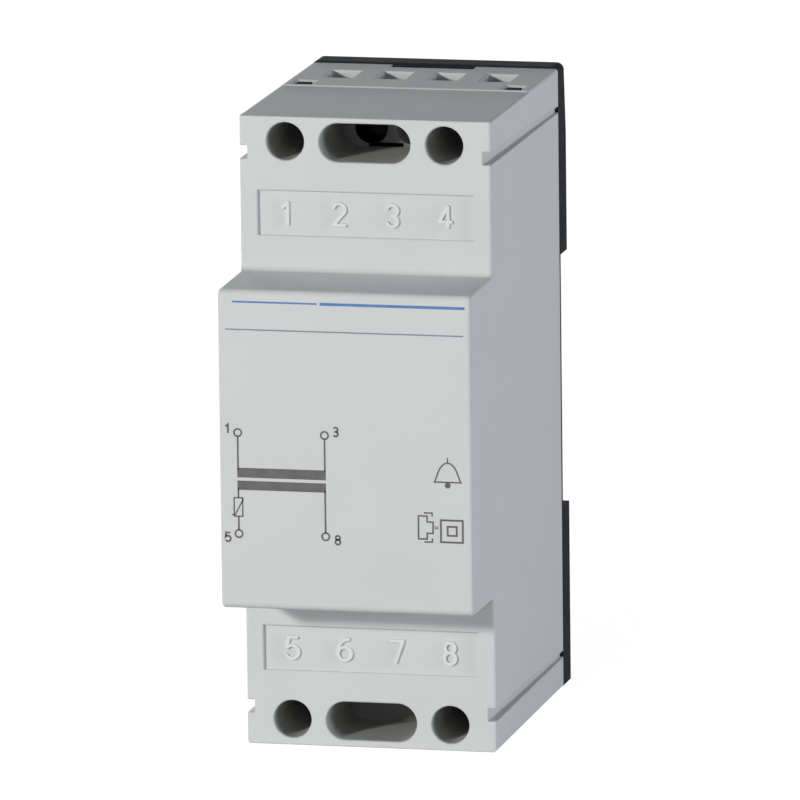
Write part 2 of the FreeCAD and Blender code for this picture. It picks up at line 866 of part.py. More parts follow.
def make_screw(number, end, pitches):
    """A slotted clamping screw. Its axis runs along Y, with the head to the front."""
    body = doc.addObject("PartDesign::Body", f"Screw{number}Body")
    turned = outline(
        body,
        f"Screw{number}Outline",
        "XY_Plane",
        [
            ("0", "head_front"),
            ("head_diameter / 2", "head_front"),
            ("head_diameter / 2", "head_rear"),
            ("screw_diameter / 2", "head_rear"),
            ("screw_diameter / 2", "bar_front - rest_gap"),
            ("0", "bar_front - rest_gap"),
        ],
    )
    revolved = body.newObject("PartDesign::Revolution", f"Screw{number}Turned")
    revolved.Profile = turned
    revolved.ReferenceAxis = (turned, ["V_Axis"])
    revolved.Angle = 360
    x, z = position(pitches), height(end, "access_inset")
    body.setExpression("Placement.Base.x", bound(x))
    body.setExpression("Placement.Base.z", bound(z))
    slot = block(
        f"Screw{number}Slot",
        about(x, "head_diameter"),
        ("head_front", "head_front + head_slot_depth"),
        about(z, "head_slot_width"),
    )
    keep(f"terminal_screw_{number}", cut(f"Screw{number}", body, [slot]))


def make_cage(number, end, pitches):
    """The lifting cage: a square loop whose front plate carries the thread."""
    x, z = position(pitches), height(end, "access_inset")
    span = heights(end, "end_wall + fit_gap + slide_gap", "end_wall + fit_gap + slide_gap + cage_height")
    outside = block(
        f"Cage{number}Outside",
        about(x, "cage_width"),
        ("cage_front", "cage_jaw + cage_jaw_thickness"),
        span,
    )
    inside = block(
        f"Cage{number}Inside",
        about(x, "cage_width - 2 * cage_side"),
        ("cage_front + cage_plate", "cage_jaw"),
        span,
    )
    thread = rod(
        f"Cage{number}Thread",
        "screw_diameter / 2 + thread_gap",
        x,
        z,
        ("cage_front", "cage_front + cage_plate"),
    )
    keep(f"terminal_cage_{number}", cut(f"Cage{number}", outside, [inside, thread]))


def make_bar(number, end, pitches):
    """The fixed contact bar that runs through the cage to the lead."""
    span = heights(end, "end_wall + fit_gap + slide_gap", "bar_tail")
    x = about(position(pitches), "bar_width")
    keep(f"contact_bar_{number}", block(f"Bar{number}", x, ("bar_front", "bar_rear"), span))


# Transformer


def make_core():
    """E and I stacks of laminations. The legs of the E stand upright round the bobbin."""
    leg = "core_leg"
    first, second, third, fourth = (f"core_front + {legs} * {leg}" for legs in (1, 2, 4, 5))
    stack = padded(
        "CoreStack",
        [
            ("core_front", "core_foot"),
            ("core_rear", "core_foot"),
            ("core_rear", "window_head"),
            (fourth, "window_head"),
            (fourth, "window_foot"),
            (third, "window_foot"),
            (third, "window_head"),
            (second, "window_head"),
            (second, "window_foot"),
            (first, "window_foot"),
            (first, "window_head"),
            ("core_front", "window_head"),
        ],
        "core_stack",
    )
    keep("core_e_stack", stack)
    bridge = block(
        "CoreBridge", about("0", "core_stack"), ("core_front", "core_rear"), ("window_head", "core_head")
    )
    keep("core_i_stack", bridge)


def sleeve(name, side, depth, z):
    """A block about the centre leg, given by its half width and half depth."""
    return block(
        name, (f"-({side})", side), (f"core_middle - ({depth})", f"core_middle + ({depth})"), z
    )


def make_bobbin():
    """The two-chamber bobbin: a square tube with end flanges and a partition."""
    low, high = "window_foot + bobbin_play", "window_head - bobbin_play"
    hole = ("core_stack / 2 + bobbin_play", "core_leg + bobbin_play")
    tube = sleeve("BobbinTube", *(f"{h} + bobbin_wall" for h in hole), (low, high))
    plates = [tube]
    feet = {
        "Low": low,
        "Middle": "mid_height - bobbin_flange / 2",
        "High": high + " - bobbin_flange",
    }
    for name, foot in feet.items():
        plates.append(
            sleeve("Flange" + name, "flange_side", "flange_depth", (foot, foot + " + bobbin_flange"))
        )
    keep("bobbin", cut("Bobbin", fuse("BobbinPlates", plates), [sleeve("LegHole", *hole, (low, high))]))


def make_coil(name, low, high):
    """One winding, rounded at its corners, between two flanges."""
    outer = sleeve(name + "Outer", "coil_side", "coil_depth", (low, high))
    doc.recompute()
    rounded = doc.addObject("Part::Fillet", name + "Rounded")
    rounded.Base = outer
    radius = measure("coil_radius")
    upright = [i for i, e in enumerate(outer.Shape.Edges, 1) if runs_along(e, "z")]
    rounded.Edges = [(i, radius, radius) for i in upright]
    tube = ("core_stack / 2 + bobbin_play + bobbin_wall", "core_leg + bobbin_play + bobbin_wall")
    return cut(name, rounded, [sleeve(name + "Hole", *tube, (low, high))])


def make_coils():
    lower = ("window_foot + bobbin_play + bobbin_flange", "mid_height - bobbin_flange / 2")
    upper = ("mid_height + bobbin_flange / 2", "window_head - bobbin_play - bobbin_flange")
    keep("primary_winding", make_coil("PrimaryCoil", *lower))
    keep("secondary_winding", make_coil("SecondaryCoil", *upper))


def wire(name, points):
    """A round lead through these points, each corner eased by a short slant."""
    ease = measure("lead_bend")
    corners = [vector(*(measure(text) for text in point)) for point in points]
    route = [corners[0]]
    for before, corner, after in zip(corners, corners[1:], corners[2:]):
        route += [corner + (side - corner).normalize() * ease for side in (before, after)]
    route.append(corners[-1])
    section = Part.Wire(Part.makeCircle(measure("lead_radius"), route[0], route[1] - route[0]))
    made = doc.addObject("Part::Feature", name)
    made.Shape = Part.makePolygon(route).makePipeShell([section], True, False, 1)
    return made


def make_leads():
    """Leads from the coils to the contact bars, and the thermistor in the one to terminal 5."""
    tail = "bar_rear + lead_radius"
    outer, inner = position(1.5), position(0.5)
    beside = "core_stack / 2 + 2 * lead_diameter"
    low = "mid_height - bobbin_flange - 2 * lead_diameter"
    high = "mid_height + bobbin_flange + 2 * lead_diameter"
    low_end, high_end = "floor_end + lead_radius", "housing_height - floor_end - lead_radius"
    top = "thermistor_height + thermistor_diameter / 2"
    foot = "thermistor_height - thermistor_diameter / 2"
    straight = {
        "lead_1": (f"-{outer}", high, high_end),
        "lead_8": (outer, low, low_end),
        "thermistor_lead": (f"-{outer}", low, top),
    }
    for name, (x, start, end) in straight.items():
        keep(name, wire("Wire" + name.title(), [(x, "coil_rear", start), (x, tail, start), (x, tail, end)]))
    round_core = [
        (beside, "coil_rear", high),
        (beside, tail, high),
        (beside, tail, "core_head"),
        (inner, tail, "housing_height - bar_tail"),
        (inner, tail, high_end),
    ]
    keep("lead_3", wire("WireLead_3", round_core))
    keep("lead_5", wire("WireLead_5", [(f"-{outer}", tail, foot), (f"-{outer}", tail, low_end)]))
    half = "thermistor_thickness / 2"
    keep(
        "thermistor",
        rod(
            "Thermistor",
            "thermistor_diameter / 2",
            f"-{outer}",
            "thermistor_height",
            (f"{tail} - {half}", f"{tail} + {half}"),
        ),
    )


def check(objects):
    """Stops if anything in the document failed, or a sub-part is no valid solid."""
    for item in doc.Objects:
        if {"Invalid", "Error"} & set(item.State):
            raise RuntimeError(f"{item.Label} did not build: {item.State}")
    for name, item in objects.items():
        shape = item.Shape
        if shape.isNull() or not shape.isValid() or not shape.Solids or shape.Volume <= 0:
            raise RuntimeError(f"{name} is no valid solid")


def main():
    make_housing()
    make_base()
    make_latch()
    make_spring()
    for number, (end, pitches) in TERMINALS.items():
        make_screw(number, end, pitches)
        make_cage(number, end, pitches)
        make_bar(number, end, pitches)
    make_core()
    make_bobbin()
    make_coils()
    make_leads()
    doc.recompute()
    check(parts)
    os.makedirs("parts", exist_ok=True)
    for name, item in parts.items():
        item.Shape.exportStep(os.path.join("parts", name + ".step"))
        print(name, len(item.Shape.Solids), round(item.Shape.Volume, 2))


main()
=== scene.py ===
import math

import bmesh
import bpy
from mathutils import Matrix, Vector
from mathutils.geometry import tessellate_polygon


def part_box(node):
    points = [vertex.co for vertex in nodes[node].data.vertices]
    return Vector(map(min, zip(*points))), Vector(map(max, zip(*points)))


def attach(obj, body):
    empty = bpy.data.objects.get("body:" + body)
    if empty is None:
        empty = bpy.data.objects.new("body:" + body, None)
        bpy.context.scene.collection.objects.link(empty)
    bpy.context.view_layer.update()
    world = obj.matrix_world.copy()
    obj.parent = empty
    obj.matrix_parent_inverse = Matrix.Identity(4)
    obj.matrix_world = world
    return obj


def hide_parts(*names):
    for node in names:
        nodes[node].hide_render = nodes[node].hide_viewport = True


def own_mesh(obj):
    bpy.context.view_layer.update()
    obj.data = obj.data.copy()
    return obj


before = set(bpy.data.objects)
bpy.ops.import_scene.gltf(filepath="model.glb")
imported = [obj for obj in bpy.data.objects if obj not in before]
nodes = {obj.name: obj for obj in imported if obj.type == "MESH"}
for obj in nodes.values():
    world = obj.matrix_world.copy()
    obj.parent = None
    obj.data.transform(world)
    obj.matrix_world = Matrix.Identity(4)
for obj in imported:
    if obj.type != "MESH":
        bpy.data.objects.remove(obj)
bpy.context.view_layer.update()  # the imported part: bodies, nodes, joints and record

# A doorbell transformer for a 35 mm rail. X runs to the right, the front looks along -Y and Z
# points up. The dictionaries hold millimetres and degrees, and the scene itself is in metres.

mm = 0.001
weldWithin = 1e-4  # millimetres
housingLow, housingHigh = (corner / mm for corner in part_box("housing"))
noseFront = housingLow.y


# Node helpers for the finishes. The first two ranges say where in the clouds a colour or a fleck
# sets in and is full. A worn edge, lightened partly as wear and partly as a painted highlight, is
# where the eased normal leaves the flat one by bendRange.

finishBasics = {
    "cloudRange": (0.3, 0.7),
    "fleckRange": (0.5, 0.8),
    "bendRange": (0.9, 0.998),
    "bendSamples": 6,
    "patch": 9,
    "fleckShare": 0.3,
    "fleckGrains": 4,
    "glossGrains": 7,
    "wearPatch": 1.2,
    "leastWearAndHighlight": 0.35,
    "lacquerRoughness": 0.15,
    "waveScale": 0.314159,  # of a wave node, for one ridge in each unit of length
}


def addNode(tree, kind, values=None, **settings):
    node = tree.nodes.new(kind)
    for name, value in settings.items():
        setattr(node, name, value)
    for socket, value in (values or {}).items():
        node.inputs[socket].default_value = value
    return node


# Soft clouds of this size over the piece, from 0 to 1.
def clouds(tree, size, detail=3.0, stretch=(1, 1, 1)):
    place = addNode(tree, "ShaderNodeTexCoord")
    scale = addNode(tree, "ShaderNodeMapping", {"Scale": stretch})
    noise = addNode(tree, "ShaderNodeTexNoise", {"Scale": 1 / (size * mm), "Detail": detail})
    tree.links.new(place.outputs["Object"], scale.inputs["Vector"])
    tree.links.new(scale.outputs["Vector"], noise.inputs["Vector"])
    return noise.outputs[0]


# Even ridges of this pitch along one axis, from 0 to 1.
def ridges(tree, pitch, axis):
    place = addNode(tree, "ShaderNodeTexCoord")
    scale = finishBasics["waveScale"] / (pitch * mm)
    wave = addNode(tree, "ShaderNodeTexWave", {"Scale": scale}, bands_direction=axis)
    tree.links.new(place.outputs["Object"], wave.inputs["Vector"])
    return wave.outputs["Fac"]


# Maps a range of the source to low and high.
def spread(tree, source, low, high, within=finishBasics["cloudRange"]):
    ends = {"From Min": within[0], "From Max": within[1], "To Min": low, "To Max": high}
    span = addNode(tree, "ShaderNodeMapRange", ends)
    tree.links.new(source, span.inputs["Value"])
    return span.outputs["Result"]


def blendColours(tree, share, first, second):
    mixer = addNode(tree, "ShaderNodeMix", data_type="RGBA")
    tree.links.new(share, mixer.inputs[0])
    for place, colour in ((6, first), (7, second)):
        if isinstance(colour, tuple):
            mixer.inputs[place].default_value = (*colour, 1)
        else:
            tree.links.new(colour, mixer.inputs[place])
    return mixer.outputs[2]


# 1 in a box in both number panels, measured from the middle of the housing, and 0 elsewhere.
# The box places the panels' finer eased edges and their painted highlights.
def inPanels(tree, panels, depths):
    low, high = depths
    place = addNode(tree, "ShaderNodeTexCoord").outputs["Object"]
    steps = (
        ("SUBTRACT", (0, 0, (housingLow.z + housingHigh.z) / 2)), ("ABSOLUTE", (0, 0, 0)),
        ("SUBTRACT", (0, (low + high) / 2, panels["height"])), ("ABSOLUTE", (0, 0, 0)),
        ("SUBTRACT", (panels["reach"], (high - low) / 2, panels["tall"] / 2)),
    )
    for operation, amount in steps:
        step = addNode(tree, "ShaderNodeVectorMath", operation=operation)
        step.inputs[1].default_value = [value * mm for value in amount]
        tree.links.new(place, step.inputs[0])
        place = step.outputs["Vector"]
    sides = addNode(tree, "ShaderNodeSeparateXYZ")
    tree.links.new(place, sides.inputs[0])
    furthest = sides.outputs[0]
    for other in (1, 2):
        larger = addNode(tree, "ShaderNodeMath", operation="MAXIMUM")
        tree.links.new(furthest, larger.inputs[0])
        tree.links.new(sides.outputs[other], larger.inputs[1])
        furthest = larger.outputs[0]
    inside = addNode(tree, "ShaderNodeMath", {1: 0.0}, operation="LESS_THAN")
    tree.links.new(furthest, inside.inputs[0])
    return inside.outputs[0]


# How much a point lies on an outer or inner edge, from 0 to 1, and the eased normal there.
def easedEdges(tree, radius, panels=None):
    samples = finishBasics["bendSamples"]
    ease = addNode(tree, "ShaderNodeBevel", {"Radius": radius * mm}, samples=samples)
    if panels:
        inside = inPanels(tree, panels, panels["depths"])
        fine = spread(tree, inside, radius * mm, panels["edge"] * mm, (0, 1))
        tree.links.new(fine, ease.inputs["Radius"])
    flat = addNode(tree, "ShaderNodeNewGeometry")
    turn = addNode(tree, "ShaderNodeVectorMath", operation="DOT_PRODUCT")
    tree.links.new(ease.outputs["Normal"], turn.inputs[0])
    tree.links.new(flat.outputs["Normal"], turn.inputs[1])
    bend = spread(tree, turn.outputs["Value"], 1, 0, finishBasics["bendRange"])
    return bend, ease.outputs["Normal"]


# The colour: slow changes, flecks, worn edges with a painted highlight, and a painted highlight
# on the panels' numbers and rims. The eased normal comes with it.
def mixColour(tree, look, stretch):
    shade = spread(tree, clouds(tree, look.get("patch", finishBasics["patch"])), 0, 1)
    colour = blendColours(tree, shade, look["colour"], look["second"])
    specks = clouds(tree, look["grain"] * finishBasics["fleckGrains"], 4, stretch)
    share = look.get("fleckShare", finishBasics["fleckShare"])
    fleck = spread(tree, specks, 0, share, finishBasics["fleckRange"])
    colour = blendColours(tree, fleck, colour, look.get("fleck", look["second"]))
    normal = None
    # Edges are lightened: partly worn, partly a painted highlight.
    if "wearAndHighlight" in look:
        edge, normal = easedEdges(tree, look["edge"], look.get("panels"))
        rubAndHighlight = spread(tree, clouds(tree, finishBasics["wearPatch"]), finishBasics["leastWearAndHighlight"], 1)
        both = addNode(tree, "ShaderNodeMath", operation="MULTIPLY")
        tree.links.new(edge, both.inputs[0])
        tree.links.new(rubAndHighlight, both.inputs[1])
        colour = blendColours(tree, both.outputs[0], colour, look["wearAndHighlight"])
    # Painted highlight: the numbers and the panels' rims are made paler, as if lit.
    for depths, tone in look.get("panels", {}).get("paintedLightTones", ()):
        colour = blendColours(tree, inPanels(tree, look["panels"], depths), colour, tone)
    return colour, normal


# The surface: fine grain over the eased edges, and even ridges where a look has them.
def grainSurface(tree, look, stretch, normal):
    grain = addNode(tree, "ShaderNodeBump", {"Strength": 1.0, "Distance": look["depth"] * mm})
    tree.links.new(clouds(tree, look["grain"], 2, stretch), grain.inputs["Height"])
    if normal is not None:
        tree.links.new(normal, grain.inputs["Normal"])
    if "pitch" not in look:
        return grain.outputs["Normal"]
    ridged = addNode(tree, "ShaderNodeBump", {"Strength": 1.0, "Distance": look["ridge"] * mm})
    tree.links.new(ridges(tree, look["pitch"], look["along"]), ridged.inputs["Height"])
    tree.links.new(grain.outputs["Normal"], ridged.inputs["Normal"])
    return ridged.outputs["Normal"]


def makeFinish(name, look):
    finish = bpy.data.materials.new(name)
    finish.use_nodes = True
    tree = finish.node_tree
    shader = tree.nodes["Principled BSDF"]
    shader.inputs["Metallic"].default_value = look.get("metal", 0)
    shader.inputs["Specular IOR Level"].default_value = look.get("shine", 0.5)
    shader.inputs["Coat Weight"].default_value = look.get("lacquer", 0)
    shader.inputs["Coat Roughness"].default_value = finishBasics["lacquerRoughness"]
    stretch = look.get("brushed", (1, 1, 1))
    colour, normal = mixColour(tree, look, stretch)
    tree.links.new(colour, shader.inputs["Base Color"])
    streaks = clouds(tree, look["grain"] * finishBasics["glossGrains"], 4, stretch)
    gloss = spread(tree, streaks, *look["roughness"])
    tree.links.new(gloss, shader.inputs["Roughness"])
    tree.links.new(grainSurface(tree, look, stretch, normal), shader.inputs["Normal"])
    return finish


# Colours are linear. Sizes are in millimetres: patch and grain are how large the clouds of colour
# and the surface's grain are, depth is the grain's, and edge is how wide the worn edges are,
# whose lighter colour is partly wear and partly a painted highlight.
# Brushed presses the grain along an axis. Pitch, ridge and along give ridges and their height.
finishLooks = {
    "housingPlastic": {
        "colour": (0.655, 0.668, 0.662), "second": (0.641, 0.655, 0.650),
        "wearAndHighlight": (0.665, 0.677, 0.671), "edge": 0.42, "roughness": (0.58, 0.70), "shine": 0.04,
        "grain": 0.16, "depth": 0.010, "fleckShare": 0.12,
        "panels": {  # painted highlight: the raised numbers and their panels' upper and lower rims are made paler
            "height": 31.1, "reach": 15.3, "tall": 6.5, "depths": (16.9, 17.6), "edge": 0.14,
            "paintedLightTones": (((17.03, 17.30), (0.80, 0.81, 0.80)), ((17.30, 17.42), (0.74, 0.75, 0.745))),
        },
    },
    # Painted shade: the holes' linings are the housing's plastic made darker, as little light
    # reaches there.
    "wellPaintedShade": {
        "colour": (0.45, 0.46, 0.44), "second": (0.40, 0.41, 0.39), "roughness": (0.6, 0.75),
        "grain": 0.2, "depth": 0.010, "fleckShare": 0.15, "shine": 0.2,
    },
    "basePlastic": {
        "colour": (0.019, 0.021, 0.023), "second": (0.023, 0.0255, 0.028),
        # The black base's much lighter edges are mostly a painted highlight that keeps them
        # readable.
        "wearAndHighlight": (0.065, 0.07, 0.075), "edge": 0.16, "roughness": (0.66, 0.78), "shine": 0.02,
        "grain": 0.18, "depth": 0.014, "fleckShare": 0.15,
    },
    "springSteel": {
        "colour": (0.42, 0.42, 0.43), "second": (0.30, 0.30, 0.33), "metal": 1.0,
        "roughness": (0.25, 0.42), "grain": 0.12, "depth": 0.003, "brushed": (1, 6, 1), "patch": 3,
    },
    "zincSteel": {
        "colour": (0.62, 0.64, 0.66), "second": (0.50, 0.53, 0.57), "metal": 1.0,
        "roughness": (0.24, 0.45), "grain": 0.15, "depth": 0.005, "patch": 2,
        "wearAndHighlight": (0.78, 0.79, 0.80), "edge": 0.1,
    },
    "brass": {
        "colour": (0.70, 0.50, 0.20), "second": (0.58, 0.38, 0.14), "metal": 1.0,
        "roughness": (0.22, 0.40), "grain": 0.2, "depth": 0.004, "brushed": (1, 1, 8), "patch": 3,
        "wearAndHighlight": (0.85, 0.66, 0.33), "edge": 0.1,
    },
    "coreSteel": {  # laminated, with rust flecks
        "colour": (0.22, 0.23, 0.26), "second": (0.14, 0.14, 0.16), "metal": 0.85,
        "roughness": (0.35, 0.6), "grain": 0.3, "depth": 0.01, "fleck": (0.24, 0.11, 0.05),
        "fleckShare": 0.35, "pitch": 0.5, "ridge": 0.05, "along": "X",
    },
    "bobbinNylon": {
        "colour": (0.60, 0.56, 0.45), "second": (0.52, 0.48, 0.38), "roughness": (0.35, 0.5),
        "grain": 0.3, "depth": 0.01, "wearAndHighlight": (0.72, 0.68, 0.58), "edge": 0.15,
    },
    "copperEnamel": {
        "colour": (0.52, 0.17, 0.06), "second": (0.38, 0.11, 0.035), "metal": 1.0,
        "roughness": (0.22, 0.38), "grain": 0.25, "depth": 0.006, "lacquer": 0.6, "patch": 4,
    },
    "coilTape": {
        "colour": (0.62, 0.42, 0.06), "second": (0.52, 0.33, 0.045), "roughness": (0.2, 0.34),
        "grain": 0.4, "depth": 0.012, "lacquer": 0.3, "patch": 5,
    },
    "leadInsulation": {
        "colour": (0.30, 0.31, 0.32), "second": (0.25, 0.26, 0.27), "roughness": (0.32, 0.45),
        "grain": 0.2, "depth": 0.006,
    },
    "thermistorCoat": {
        "colour": (0.62, 0.36, 0.02), "second": (0.52, 0.28, 0.015), "roughness": (0.24, 0.4),
        "grain": 0.5, "depth": 0.03, "lacquer": 0.4, "patch": 1.5,
    },
    "darkInk": {
        "colour": (0.075, 0.070, 0.072), "second": (0.11, 0.105, 0.108), "roughness": (0.42, 0.55),
        "grain": 0.08, "depth": 0.004, "patch": 1.4,
    },
    "blueInk": {
        "colour": (0.045, 0.16, 0.42), "second": (0.07, 0.20, 0.46), "roughness": (0.40, 0.52),
        "grain": 0.08, "depth": 0.004, "patch": 1.4,
    },
    "slateInk": {
        "colour": (0.16, 0.20, 0.30), "second": (0.20, 0.24, 0.34), "roughness": (0.40, 0.52),
        "grain": 0.08, "depth": 0.004, "patch": 1.4,
    },
}
# Darker painted shade for the pockets' back walls, and the darkest for the blind hole and the slit.
finishLooks["wellShade"] = {
    **finishLooks["wellPaintedShade"],
    "colour": (0.16, 0.165, 0.155), "second": (0.13, 0.135, 0.125),
}
finishLooks["wellPaintedDeepShade"] = {
    **finishLooks["wellPaintedShade"],
    "colour": (0.020, 0.020, 0.019), "second": (0.014, 0.014, 0.013), "shine": 0.05,
}
finishes = {name: makeFinish(name, look) for name, look in finishLooks.items()}
print("finishes mixed:", len(finishes))

nodeFinishes = {
    "housing": "housingPlastic", "base": "basePlastic", "rail_latch": "basePlastic",
    "latch_spring": "springSteel", "terminal_screw": "zincSteel", "terminal_cage": "zincSteel",
    "contact_bar": "brass", "core": "coreSteel", "bobbin": "bobbinNylon",
    "primary_winding": "copperEnamel", "secondary_winding": "copperEnamel",
    "lead": "leadInsulation", "thermistor_lead": "leadInsulation", "thermistor": "thermistorCoat",
}


# Gives each moulded or stamped part its finish. The longest name that fits a part wins.
def dressParts():
    for name, part in nodes.items():
        fitting = max((key for key in nodeFinishes if name.startswith(key)), key=len)
        part.data.materials.clear()
        part.data.materials.append(finishes[nodeFinishes[fitting]])


dressParts()
print("parts dressed:", len(nodes))


# Mesh helpers. Meshes are built in millimetres.


def makePiece(name, shape, finishName, body, standsFor=(), sharpAbove=35):
    bmesh.ops.remove_doubles(shape, verts=shape.verts, dist=weldWithin)
    bmesh.ops.recalc_face_normals(shape, faces=shape.faces)
    mesh = bpy.data.meshes.new(name)
    shape.to_mesh(mesh)
    shape.free()
    mesh.transform(Matrix.Scale(mm, 4))
    mesh.shade_smooth()
    mesh.set_sharp_from_angle(angle=math.radians(sharpAbove))
    mesh.materials.append(finishes[finishName])
    piece = bpy.data.objects.new(name, mesh)
    bpy.context.scene.collection.objects.link(piece)
    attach(piece, body)
    if standsFor:
        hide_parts(*standsFor)
    return piece


def arcPoints(middle, radius, start, end, steps):
    turns = [math.radians(start + (end - start) * i / steps) for i in range(steps + 1)]
    return [(middle[0] + radius * math.cos(t), middle[1] + radius * math.sin(t)) for t in turns]


def circlePoints(middle, radius, count):
    return arcPoints(middle, radius, 0, 360 * (count - 1) / count, count - 1)


# A ring about an axis that runs from front to back.
def ringAt(middle, radius, depth, sides):
    turns = [math.tau * i / sides for i in range(sides)]
    points = [(middle[0] + radius * math.cos(t), middle[1] + radius * math.sin(t)) for t in turns]
    return [(x, depth, z) for x, z in points]


# Skins a row of rings of the same count. The ends are closed with one face each unless joined.
def skinRings(shape, rings, joined=False, capped=True):
    made = [[shape.verts.new(point) for point in ring] for ring in rings]
    pairs = list(zip(made, made[1:]))
    if joined:
        pairs.append((made[-1], made[0]))
    for first, second in pairs:
        count = len(first)
        for i in range(count):
            shape.faces.new((first[i], first[(i + 1) % count], second[(i + 1) % count], second[i]))
    if capped and not joined:
        shape.faces.new(made[0])
        shape.faces.new(reversed(made[-1]))
    return made


# The printing on the nose: rules at the top, the circuit, and plain symbols at the right.

printing = {
    "thickness": 0.02,
    "thickRule": 0.40,
    "leadRule": 0.24,
    "thinRule": 0.19,
    "circuitLine": 0.24,
    "resistorLine": 0.192,
    "slantLine": 0.18,
    "symbolLine": 0.27,
    "bellLine": 0.216,
    "stemLine": 0.189,
    "boxLine": 0.2295,
    "dashLine": 0.1377,
    "ruleHeight": 66.0,
    "thinRuleHeight": 62.07,
    "ruleLeft": -15.9,
    "ruleBreak": (-3.78, -3.36),
    "ruleRight": 17.25,
    "thinRuleSpan": (-16.9, 17.05),
    "circuit": {"left": -15.35, "right": -2.92, "top": 47.43, "bottom": 33.06},
    "ringRadius": 0.53,
    "windings": ((42.46, 41.07), (40.62, 39.31)),
    "resistor": (-15.98, -14.76, 35.55, 38.16),
    "slant": ((-16.33, 35.75), (-15.83, 35.75), (-14.66, 38.01)),
    "digitHeight": 1.25,
    "digitLine": 0.27,
    "digits": {1: (-16.85, 47.93), 3: (-1.33, 47.97), 5: (-16.94, 32.55), 8: (-1.18, 32.64)},
    "bell": {"middle": 14.6, "foot": 41.37, "head": 44.10, "stem": 44.85, "reach": 1.87},
    "bellSide": (
        (1, 0), (0.88, 0.2), (0.78, 0.4), (0.68, 0.58), (0.56, 0.74), (0.4, 0.87), (0.21, 0.97)
    ),
    "clapper": (40.93, 0.42),
    "outerSquare": (15.12, 34.42, 3.12),
    "innerSquare": (15.17, 34.45, 1.28),
    "box": (
        (10.37, 33.23), (11.6, 33.23), (11.6, 34.06), (12.45, 34.06),
        (12.45, 35.66), (11.6, 35.66), (11.6, 36.5), (10.37, 36.5),
    ),
    "angles": (
        ((11.15, 36.93), (12.33, 36.93), (12.33, 36.45)),
        ((11.15, 32.82), (12.33, 32.82), (12.33, 33.35)),
    ),
    "dashes": (((12.68, 34.75), (13.2, 34.75)), ((12.68, 35.0), (13.2, 35.0))),
}


def inkLevels():
    return noseFront - printing["thickness"], noseFront + printing["thickness"]


# One printed line: a flat ribbon with mitred corners.
def inkLine(shape, points, width, closed=False, sharpest=0.35):
    front, back = inkLevels()
    count = len(points)
    rings = []
    for i, point in enumerate(points):
        here = Vector(point)
        before = Vector(points[i - 1]) if i or closed else None
        after = Vector(points[(i + 1) % count]) if i < count - 1 or closed else None
        runIn = (here - before).normalized() if before else (after - here).normalized()
        runOut = (after - here).normalized() if after else runIn
        across = Vector((-(runIn + runOut).y, (runIn + runOut).x)).normalized()
        half = width / 2 / max(sharpest, across.dot(Vector((-runIn.y, runIn.x))))
        sides = (here - across * half, here + across * half)
        corners = [(sides[0], front), (sides[1], front), (sides[1], back), (sides[0], back)]
        rings.append([(side.x, depth, side.y) for side, depth in corners])
    skinRings(shape, rings, joined=closed)


def inkPatch(shape, points):
    front, back = inkLevels()
    skinRings(shape, [[(x, depth, z) for x, z in points] for depth in (front, back)])


# A number as lines in a cell of height 1 whose foot is at 0.
def digitLines(digit):
    if digit == 1:
        return [[(-0.18, 0.76), (0.1, 1), (0.1, 0)]]
    if digit == 3:
        upper = arcPoints((0, 0.76), 0.24, 150, -90, 9)
        return [upper + arcPoints((0, 0.27), 0.27, 90, -150, 10)[1:]]
    if digit == 5:
        head = [(0.28, 1), (-0.22, 1), (-0.27, 0.5)]
        return [head + arcPoints((0, 0.32), 0.32, 140, -145, 11)]
    return [arcPoints((0, 0.75), 0.24, 90, 430, 13), arcPoints((0, 0.27), 0.28, 90, 432, 14)]


def printDigits(shape):
    tall = printing["digitHeight"]
    for digit, (x, z) in printing["digits"].items():
        for points in digitLines(digit):
            placed = [(x + px * tall, z + (pz - 0.5) * tall) for px, pz in points]
            closed = digit == 8
            inkLine(shape, placed, printing["digitLine"], closed)


def printCircuit():
    shape = bmesh.new()
    place, radius = printing["circuit"], printing["ringRadius"]
    line = printing["circuitLine"]
    near, far = place["left"], place["right"]
    ringTop = place["bottom"] + radius
    upper, lower = printing["windings"]
    left, right, foot, head = printing["resistor"]
    for x in (near, far):
        for z in (place["top"], place["bottom"]):
            inkLine(shape, circlePoints((x, z), radius, 24), line, closed=True)
        inkLine(shape, [(x, place["top"] - radius), (x, upper[0] - line)], line)
    inkLine(shape, [(far, lower[1] + line), (far, ringTop)], line)
    inkLine(shape, [(near, lower[1] + line), (near, head)], line)
    inkLine(shape, [(near, foot), (near, ringTop)], line)
    frameLine = [(left, foot), (right, foot), (right, head), (left, head)]
    inkLine(shape, frameLine, printing["resistorLine"], closed=True)
    inkLine(shape, printing["slant"], printing["slantLine"])
    start, stop = near - line / 2, far + line / 2
    for high, low in (upper, lower):
        inkPatch(shape, [(start, low), (stop, low), (stop, high), (start, high)])
    printDigits(shape)
    makePiece("printedCircuit", shape, "darkInk", "body")


def printSymbols():
    shape = bmesh.new()
    bell = printing["bell"]
    middle, reach = bell["middle"], bell["reach"]
    tall = bell["head"] - bell["foot"]
    side = printing["bellSide"]
    right = [(middle + x * reach, bell["foot"] + z * tall) for x, z in side]
    left = [(middle - x * reach, bell["foot"] + z * tall) for x, z in reversed(side)]
    inkLine(shape, right + [(middle, bell["head"])] + left, printing["bellLine"], closed=True)
    inkLine(shape, [(middle, bell["head"]), (middle, bell["stem"])], printing["stemLine"])
    low, radius = printing["clapper"]
    inkPatch(shape, circlePoints((middle, low), radius, 18))
    corners = ((-1, -1), (1, -1), (1, 1), (-1, 1))
    for x, z, size in (printing["outerSquare"], printing["innerSquare"]):
        square = [(x + across * size / 2, z + up * size / 2) for across, up in corners]
        inkLine(shape, square, printing["symbolLine"], closed=True)
    makePiece("printedSymbols", shape, "darkInk", "body")


